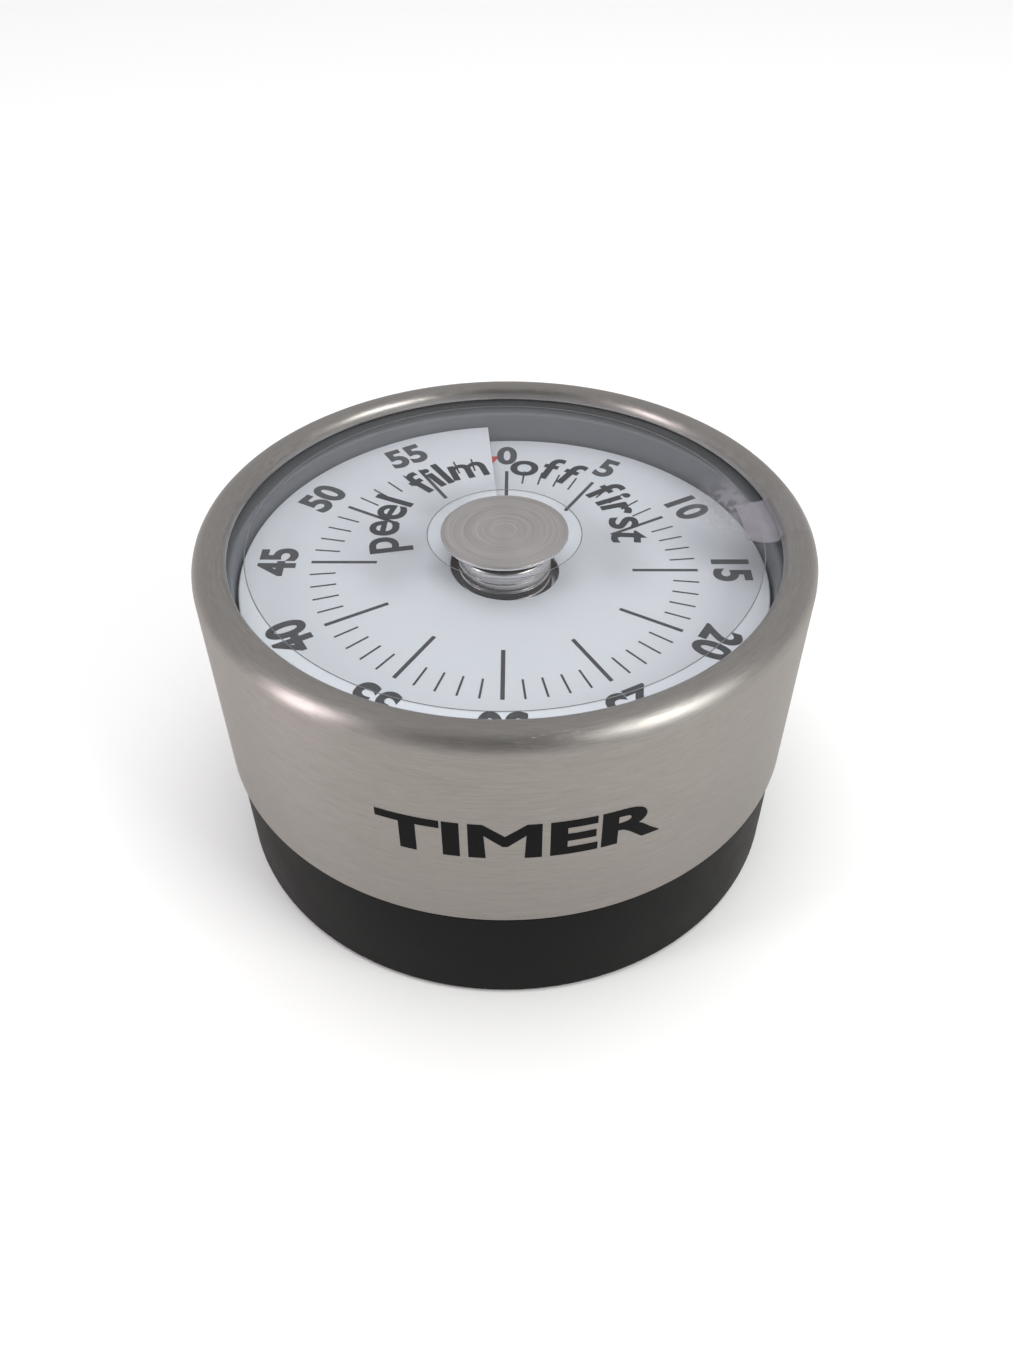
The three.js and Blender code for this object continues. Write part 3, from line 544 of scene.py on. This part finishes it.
def tickTree(size):
    tree = bpy.data.node_groups.new("dialTicks", "GeometryNodeTree")
    nodes = Nodes(tree)
    inputs = {"Count": size["count"], "Outer": size["outer"], "Minor inner": size["minorInner"],
              "Major inner": size["majorInner"], "Minor width": size["minorWidth"],
              "Major width": size["majorWidth"], "Depth": size["depth"], "Low": dialSizes["low"],
              "Rise": dialSizes["rise"], "Start": dialSizes["start"], "Turn": size["turn"],
              "Ink": finishes["ink"]}
    kinds = {int: "NodeSocketInt", float: "NodeSocketFloat"}
    settings = {}
    for name, value in inputs.items():
        kind = kinds.get(type(value), "NodeSocketMaterial")
        socket = tree.interface.new_socket(name, in_out="INPUT", socket_type=kind)
        settings[socket.identifier] = value
    tree.interface.new_socket("Geometry", in_out="OUTPUT", socket_type="NodeSocketGeometry")
    given = nodes.add("NodeGroupInput").outputs
    value = {name: Wire(nodes, given[name]) for name in inputs}
    minute = Wire(nodes, nodes.add("GeometryNodeInputIndex").outputs[0])
    angle = minute * 6 + value["Turn"]
    height = value["Low"] + value["Rise"] * (angle - value["Start"]) / 360
    line = nodes.add("GeometryNodeMeshLine", Count=value["Count"])
    place = nodes.add("ShaderNodeCombineXYZ", Z=height * mm)
    points = nodes.add("GeometryNodeSetPosition", Geometry=line.outputs[0], Position=place.outputs[0])
    turn = nodes.add("ShaderNodeCombineXYZ", Z=angle * math.radians(-1))
    fifth = nodes.add("FunctionNodeCompare", {"data_type": "FLOAT", "operation": "LESS_THAN"})
    nodes.feed(fifth.inputs[0], minute % 5)
    nodes.feed(fifth.inputs[1], 0.5)
    other = nodes.add("FunctionNodeBooleanMath", {"operation": "NOT"})
    nodes.feed(other.inputs[0], fifth.outputs[0])
    join = nodes.add("GeometryNodeJoinGeometry")
    for inner, width, chosen in (("Minor inner", "Minor width", other), ("Major inner", "Major width", fifth)):
        length = value["Outer"] - value[inner]
        box = nodes.add("ShaderNodeCombineXYZ", X=value[width] * mm, Y=length * mm, Z=value["Depth"] * mm)
        bar = nodes.add("GeometryNodeMeshCube", Size=box.outputs[0])
        middle = nodes.add("ShaderNodeCombineXYZ", Y=(value[inner] + length * 0.5) * mm)
        moved = nodes.add("GeometryNodeTransform", Geometry=bar.outputs[0], Translation=middle.outputs[0])
        spread = nodes.add("GeometryNodeInstanceOnPoints", Points=points.outputs[0], Selection=chosen.outputs[0],
                           Instance=moved.outputs[0], Rotation=turn.outputs[0])
        nodes.feed(join.inputs[0], spread.outputs[0])
    real = nodes.add("GeometryNodeRealizeInstances", Geometry=join.outputs[0])
    inked = nodes.add("GeometryNodeSetMaterial", Geometry=real.outputs[0], Material=value["Ink"])
    nodes.add("NodeGroupOutput", Geometry=inked.outputs[0])
    return tree, settings


def grown(name, tree, settings, finish):
    # the plain piece that a node tree makes
    seed = bpy.data.objects.new(name + "Seed", bpy.data.meshes.new(name + "Seed"))
    bpy.context.scene.collection.objects.link(seed)
    modifier = seed.modifiers.new("grow", "NODES")
    modifier.node_group = tree
    for identifier, value in settings.items():
        modifier[identifier] = value
    bpy.context.view_layer.update()
    ready = seed.evaluated_get(bpy.context.evaluated_depsgraph_get())
    mesh = bpy.data.meshes.new_from_object(ready)
    seed.modifiers.remove(modifier)
    bpy.data.objects.remove(seed)
    return makeObject(name, mesh, finish)


settle(grown("dialTicks", *tickTree(tickSizes), "ink"), "base", "dial_white")

# Numbers every five minutes, their tops outwards
numeralSizes = {"orbit": 22.75, "height": 3.8, "stretch": 0.9, "weight": 0.036, "depth": 0.03, "turn": -0.9}
lettering = {"capShare": 0.682, "space": 0.45, "weld": 0.003, "sharpest": 0.4}  # shares of the font's size


def fatten(work, amount):
    # moves the outline of flat lettering outwards
    moves = {}
    for vert in work.verts:
        sides = []
        for edge in [edge for edge in vert.link_edges if edge.is_boundary]:
            along = (edge.verts[1].co - edge.verts[0].co).normalized()
            out = Vector((along.y, -along.x, 0))
            inwards = edge.link_faces[0].calc_center_median() - edge.verts[0].co
            sides.append(-out if out.dot(inwards) > 0 else out)
        if len(sides) == 2:
            blunt = max(lettering["sharpest"], 1 + sides[0].dot(sides[1]))
            moves[vert] = (sides[0] + sides[1]) * amount / blunt
    for vert, move in moves.items():
        vert.co += move


def letterMesh(text, height, stretch, weight):
    # raised lettering in millimetres, its foot on the X axis and its thickness 1, about z = 0
    curve = bpy.data.curves.new("letters", "FONT")
    curve.body = text
    curve.size = 1
    curve.resolution_u = 6
    letters = bpy.data.objects.new("letters", curve)
    bpy.context.scene.collection.objects.link(letters)
    bpy.context.view_layer.update()
    ready = letters.evaluated_get(bpy.context.evaluated_depsgraph_get())
    mesh = bpy.data.meshes.new_from_object(ready)
    bpy.data.objects.remove(letters)
    work = bmesh.new()
    work.from_mesh(mesh)
    bmesh.ops.remove_doubles(work, verts=work.verts, dist=lettering["weld"])
    fatten(work, weight)
    size = height / (lettering["capShare"] + 2 * weight)
    middle = (min(v.co.x for v in work.verts) + max(v.co.x for v in work.verts)) / 2
    for vert in work.verts:
        vert.co = Vector(((vert.co.x - middle) * size * stretch, (vert.co.y + weight) * size, -0.5))
    raised = bmesh.ops.extrude_face_region(work, geom=list(work.faces))["geom"]
    upper = [part for part in raised if isinstance(part, bmesh.types.BMVert)]
    bmesh.ops.translate(work, verts=upper, vec=(0, 0, 1))
    return work


def cutAcross(work, spacing):
    # cuts lettering into upright strips, so that it can follow a curve
    low = min(v.co.x for v in work.verts)
    high = max(v.co.x for v in work.verts)
    for step in range(1, int((high - low) / spacing) + 1):
        everything = list(work.verts) + list(work.edges) + list(work.faces)
        bmesh.ops.bisect_plane(work, geom=everything, plane_co=(low + step * spacing, 0, 0), plane_no=(1, 0, 0))


def joinedLetters(name, works, finish):
    whole = bmesh.new()
    for work in works:
        part = bpy.data.meshes.new("part")
        work.to_mesh(part)
        work.free()
        whole.from_mesh(part)
        bpy.data.meshes.remove(part)
    bmesh.ops.recalc_face_normals(whole, faces=whole.faces)
    bmesh.ops.scale(whole, vec=(mm, mm, mm), verts=whole.verts)
    mesh = bpy.data.meshes.new(name)
    whole.to_mesh(mesh)
    whole.free()
    return makeObject(name, mesh, finish)


def makeNumerals(size):
    works = []
    for minute in range(0, 60, 5):
        work = letterMesh(str(minute), size["height"], size["stretch"], size["weight"])
        out = clockPoint(1, minute * 6 + size["turn"])
        along = clockPoint(1, minute * 6 + size["turn"] + 90)
        for vert in work.verts:
            spot = out * (size["orbit"] + vert.co.y - size["height"] / 2) + along * vert.co.x
            degrees = math.degrees(math.atan2(spot.x, spot.y))
            vert.co = Vector((spot.x, spot.y, dialHeight(degrees) + vert.co.z * size["depth"] * 2))
        works.append(work)
    return joinedLetters("dialNumerals", works, "ink")


settle(makeNumerals(numeralSizes), "base", "dial_white")
print("dial and its markings made")

# Red disc: hidden below the dial at zero, with only its tip in the slit. It spreads over the dial as it turns.
redSizes = {"inner": 6.2, "outer": 20.3, "sheet": 0.15, "gap": 0.15, "start": 1.2, "end": 352.6, "steps": 240,
            "flat": 31.75, "keep": 0.12, "tipInner": 20.9, "tipOuter": 22.4, "tipStart": -5.5, "tipEnd": -3.7,
            "tipSteps": 6, "tipPoint": 0.2, "tipLift": 0.08, "tipSheet": 0.1}


def makeRedDisc(size):
    def build(work):
        sections = []
        for step in range(size["steps"] + 1):
            degrees = size["start"] + (size["end"] - size["start"]) * step / size["steps"]
            high = dialHeight(degrees) - dialSizes["sheet"] - size["gap"]
            low = high - size["sheet"]
            inner, outer = size["inner"], size["outer"]
            sections.append([clockPoint(radius, degrees, height) for radius, height in
                             ((inner, low), (outer, low), (outer, high), (inner, high))])
        addRings(work, sections, False)
        # the tip that shows in the slit
        low = dialSizes["low"] + size["tipLift"]
        high = low + size["tipSheet"]
        outer = size["tipOuter"]
        blade = []
        for step in range(size["tipSteps"] + 1):
            share = step / size["tipSteps"]
            degrees = size["tipStart"] + (size["tipEnd"] - size["tipStart"]) * share
            inner = size["tipInner"] + (outer - size["tipInner"] - size["tipPoint"]) * share
            blade.append([clockPoint(radius, degrees, height) for radius, height in
                          ((inner, low), (outer, low), (outer, high), (inner, high))])
        addRings(work, blade, False)
    return makeObject("redDisc", closedMesh("redDisc", build), "red")


redDisc = settle(makeRedDisc(redSizes), "shell", "red_sheet", "red_disc")
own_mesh(redDisc)

# Cap and hub in the middle
capSizes = {"radius": 6.24, "edge": 0.2, "edgeDrop": 0.12, "bottom": 34.35, "top": 34.75, "spigot": 1.9,
            "spigotFoot": 31.5}
hubSizes = {"neck": 4.6, "flange": 7.5, "bottom": 27.85, "flangeTop": 28.45, "top": 32.75, "bore": 2.0,
            "bands": [(29.6, 0.14), (30.6, 0.18), (31.6, 0.14)], "bandMouth": 0.2, "bandFloor": 0.12}


def makeCap(size):
    corners = [
        (0, size["spigotFoot"], 0), (size["spigot"], size["spigotFoot"], 0.2),
        (size["spigot"], size["bottom"], 0), (size["radius"], size["bottom"], 0.08),
        (size["radius"], size["top"] - size["edgeDrop"], 0.04),
        (size["radius"] - size["edge"], size["top"], 0.04), (0, size["top"], 0),
    ]
    piece = turnedPiece("spunCap", corners, "capSteel")
    piece.data.materials.append(finishes["chrome"])
    polished = (size["radius"] - size["edge"] - 0.02) * mm
    for face in piece.data.polygons:
        if face.center.xy.length > polished:
            face.material_index = 1
    return piece


def makeHub(size):
    corners = [(size["bore"], size["bottom"], 0), (size["flange"], size["bottom"], 0.15),
               (size["flange"], size["flangeTop"], 0.15), (size["neck"], size["flangeTop"], 0.2)]
    mouth, floor = size["bandMouth"], size["bandFloor"]
    for height, depth in size["bands"]:
        corners += [(size["neck"], height - mouth, 0.05), (size["neck"] - depth, height - floor, 0.05),
                    (size["neck"] - depth, height + floor, 0.05), (size["neck"], height + mouth, 0.05)]
    corners += [(size["neck"], size["top"], 0.3), (size["bore"], size["top"], 0.1)]
    return turnedPiece("driveHub", corners, "chrome")


settle(makeCap(capSizes), "shell", "cap_steel", "cap")
settle(makeHub(hubSizes), "shell", "hub_chrome", "drive_hub")

# Black base, with a groove for the foot ring and a pocket for the magnet
baseSizes = {"radius": 29.6, "bottom": 0.2, "shoulder": 12.5, "chamfer": 0.35, "inner": 26.6, "floor": 3.6,
             "collarOuter": 27.85, "collarInner": 24.65, "collarTop": 15.5, "collarDepth": 1.6,
             "grooveInner": 19.95, "grooveOuter": 27.05, "grooveTop": 0.9, "pocket": 11.95, "pocketTop": 2.35,
             "bossOrbit": 21.25, "bossRadius": 2.4, "bossTop": 4.6, "bossSink": 0.2, "bossAngles": (98, 338, 218)}


def makeBase(size):
    radius, bottom = size["radius"], size["bottom"]
    collar = size["collarTop"] - size["collarDepth"]
    corners = [
        (0, size["pocketTop"], 0), (size["pocket"], size["pocketTop"], 0.1), (size["pocket"], bottom, 0.15),
        (size["grooveInner"], bottom, 0.12), (size["grooveInner"], size["grooveTop"], 0.1),
        (size["grooveOuter"], size["grooveTop"], 0.1), (size["grooveOuter"], bottom, 0.12),
        (radius - size["chamfer"], bottom, 0.2), (radius, bottom + size["chamfer"], 0.3),
        (radius, size["shoulder"], 0.4), (size["collarOuter"], size["shoulder"], 0.1),
        (size["collarOuter"], size["collarTop"], 0.3), (size["collarInner"], size["collarTop"], 0.3),
        (size["collarInner"], collar, 0), (size["inner"], collar - size["collarDepth"], 0),
        (size["inner"], size["floor"], 0.5),
        (0, size["floor"], 0),
    ]

    def build(work):
        lathe(work, rounded(corners))
        low = size["floor"] - size["bossSink"]
        boss = rounded([(0, low, 0), (size["bossRadius"], low, 0), (size["bossRadius"], size["bossTop"], 0.2),
                        (0, size["bossTop"], 0)])
        for angle in size["bossAngles"]:
            lathe(work, boss, smallSteps, clockPoint(size["bossOrbit"], angle)[:2])
    return makeObject("baseHousing", closedMesh("baseHousing", build), "black")


settle(makeBase(baseSizes), "base", "base_black", "base_housing")

# Rubber foot ring with rounded ribs, and the magnet in its cup
footSizes = {"inner": 20.0, "outer": 27.0, "top": 0.85, "ribs": 3, "ribDepth": 0.3, "ribMouth": 0.5,
             "ribFloor": 0.3}
magnetSizes = {"radius": 11.0, "cup": 11.8, "bottom": 0.25, "top": 1.45, "cupTop": 2.3, "gap": 0.05}


def makeFoot(size):
    corners = [(size["outer"], 0, 0.25), (size["outer"], size["top"], 0.1), (size["inner"], size["top"], 0.1),
               (size["inner"], 0, 0.25)]
    pitch = (size["outer"] - size["inner"]) / size["ribs"]
    mouth, floor = size["ribMouth"], size["ribFloor"]
    for rib in range(1, size["ribs"]):
        radius = size["inner"] + pitch * rib
        corners += [(radius - mouth, 0, 0.15), (radius - floor, size["ribDepth"], 0.12),
                    (radius + floor, size["ribDepth"], 0.12), (radius + mouth, 0, 0.15)]
    return turnedPiece("footRing", corners, "rubber")


def makeMagnet(size):
    corners = [(0, size["bottom"], 0), (size["radius"], size["bottom"], 0.15),
               (size["radius"], size["top"], 0.1), (0, size["top"], 0)]
    return turnedPiece("magnetDisc", corners, "magnet", middleSteps)


def makeCup(size):
    inside, under = size["radius"] + size["gap"], size["top"] + size["gap"]
    corners = [(0, under, 0), (inside, under, 0.05), (inside, size["bottom"], 0.08),
               (size["cup"], size["bottom"], 0.12), (size["cup"], size["cupTop"], 0.2), (0, size["cupTop"], 0)]
    return turnedPiece("magnetCup", corners, "steel", middleSteps)


settle(makeFoot(footSizes), "base", "foot_rubber", "foot_ring")
settle(makeMagnet(magnetSizes), "base", "magnet_black", "magnet")
settle(makeCup(magnetSizes), "base", "movement_steel", "magnet_cup")
print("hub, base, foot and magnet made")

# A plain word printed on the shell's side, and one printed on the film
markSizes = {"text": "TIMER", "height": 4.3, "stretch": 1.55, "weight": 0.034, "bottom": 21.9, "angle": 176.0,
             "depth": 0.03, "strip": 0.4}
filmText = {"text": "peel film off first", "start": -108.0, "end": 98.0, "baseline": 10.4, "height": 4.2,
            "stretch": 0.98, "weight": 0.018, "depth": 0.02, "bottom": 34.5, "spacedAt": 0.35}


def makeMark(size):
    work = letterMesh(size["text"], size["height"], size["stretch"], size["weight"])
    cutAcross(work, size["strip"])
    for vert in work.verts:
        radius = shellSizes["radius"] + vert.co.z * size["depth"] * 2
        degrees = size["angle"] - math.degrees(vert.co.x / shellSizes["radius"])
        vert.co = clockPoint(radius, degrees, size["bottom"] + vert.co.y)
    return joinedLetters("sideMark", [work], "mark")


def makeFilmText(size):
    works = []
    for character in size["text"]:
        if character == " ":
            works.append(None)
        else:
            works.append(letterMesh(character, size["height"], size["stretch"], size["weight"]))
    space = size["height"] * lettering["space"]
    widths = [space if work is None else max(v.co.x for v in work.verts) * 2 for work in works]
    arc = math.radians(size["end"] - size["start"]) * (size["baseline"] + size["height"] * size["spacedAt"])
    gap = (arc - sum(widths)) / (len(works) - 1)
    travelled = 0
    for work, width in zip(works, widths):
        share = (travelled + width / 2) / arc
        travelled += width + gap
        if work is None:
            continue
        degrees = size["start"] + (size["end"] - size["start"]) * share
        out = clockPoint(1, degrees)
        along = clockPoint(1, degrees + 90)
        for vert in work.verts:
            spot = out * (size["baseline"] + vert.co.y) + along * vert.co.x
            vert.co = Vector((spot.x, spot.y, size["bottom"] + vert.co.z * size["depth"]))
    return joinedLetters("filmLettering", [work for work in works if work is not None], "ink")


settle(makeMark(markSizes), "shell", "base_black")
settle(makeFilmText(filmText), "shell", "base_black")
print("lettering made")

# The movement keeps its CAD shapes and takes brass, steel and spring steel by its slots
movementFinish = {"movement_brass": "brass", "movement_steel": "steel", "spring_steel": "spring",
                  "hub_chrome": "chrome"}


def finishMovement():
    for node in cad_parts.values():
        for slot in node.material_slots:
            key = slot.material.name.split(".")[0]
            if key in movementFinish:
                slot.material = finishes[movementFinish[key]]


finishMovement()
print("movement finished")

# Pale floor and soft studio light; its reach and places are in metres
studio = {"floor": 3.0, "floorDrop": 0.05, "world": 0.66,
          "shade": {"towards": (0.0, -0.72, 0.69), "depth": 0.6, "start": 0.72, "full": 0.97},
          "lights": {
              "overhead": {"place": (0.0, 0.1, 1.6), "size": (2.0, 2.0), "power": 19.0, "colour": (1.0, 1.0, 1.0),
                           "mirrored": False},
              "leftSoftbox": {"place": (-0.37, -0.17, 0.17), "size": (0.09, 0.3), "power": 0.5,
                              "colour": (1.0, 0.9, 0.92), "mirrored": True},
              "rightSoftbox": {"place": (0.315, -0.19, 0.3), "size": (0.2, 0.2), "power": 0.8,
                               "colour": (0.98, 1.0, 0.96), "mirrored": True},
          }}


def makeWorld(look):
    # even light all round, a little darker where someone leans over the object
    world = bpy.data.worlds.new("studio")
    world.use_nodes = True
    world.node_tree.nodes.clear()
    nodes = Nodes(world.node_tree)
    aim = nodes.add("ShaderNodeVectorMath", {"operation": "DOT_PRODUCT"})
    nodes.feed(aim.inputs[0], nodes.add("ShaderNodeTexCoord").outputs["Generated"])
    nodes.feed(aim.inputs[1], look["shade"]["towards"])
    near = Wire(nodes, aim.outputs["Value"]).ramp(look["shade"]["start"], look["shade"]["full"])
    light = nodes.add("ShaderNodeBackground", Strength=(1 - near * look["shade"]["depth"]) * look["world"])
    nodes.add("ShaderNodeOutputWorld", Surface=light.outputs[0])
    bpy.context.scene.world = world


def makeFloor(look):
    shade = Shade("paleFloor")
    cloud = shade.grain(200.0)
    seen = shade.add("ShaderNodeLightPath").outputs["Is Camera Ray"]
    shade.surface(Base_Color=shade.blend(seen, (0.66, 0.64, 0.62), (0.97, 0.97, 0.97)),
                  Roughness=0.8 + cloud * 0.1)
    reach = look["floor"]
    mesh = bpy.data.meshes.new("floor")
    drop = -look["floorDrop"] * mm
    mesh.from_pydata([(-reach, -reach, drop), (reach, -reach, drop), (reach, reach, drop), (-reach, reach, drop)],
                     [], [(0, 1, 2, 3)])
    mesh.materials.append(shade.material)
    floor = bpy.data.objects.new("floor", mesh)
    bpy.context.scene.collection.objects.link(floor)


def makeLights(look):
    for name, lamp in look["lights"].items():
        data = bpy.data.lights.new(name, "AREA")
        data.shape = "RECTANGLE"
        data.size, data.size_y = lamp["size"]
        data.energy = lamp["power"]
        data.color = lamp["colour"]
        light = bpy.data.objects.new(name, data)
        light.visible_glossy = lamp["mirrored"]
        light.location = lamp["place"]
        light.rotation_euler = (Vector((0, 0, 0.02)) - light.location).to_track_quat("-Z", "Y").to_euler()
        bpy.context.scene.collection.objects.link(light)


makeWorld(studio)
makeFloor(studio)
makeLights(studio)
bpy.context.scene.view_settings.view_transform = "Standard"


print("scene ready")
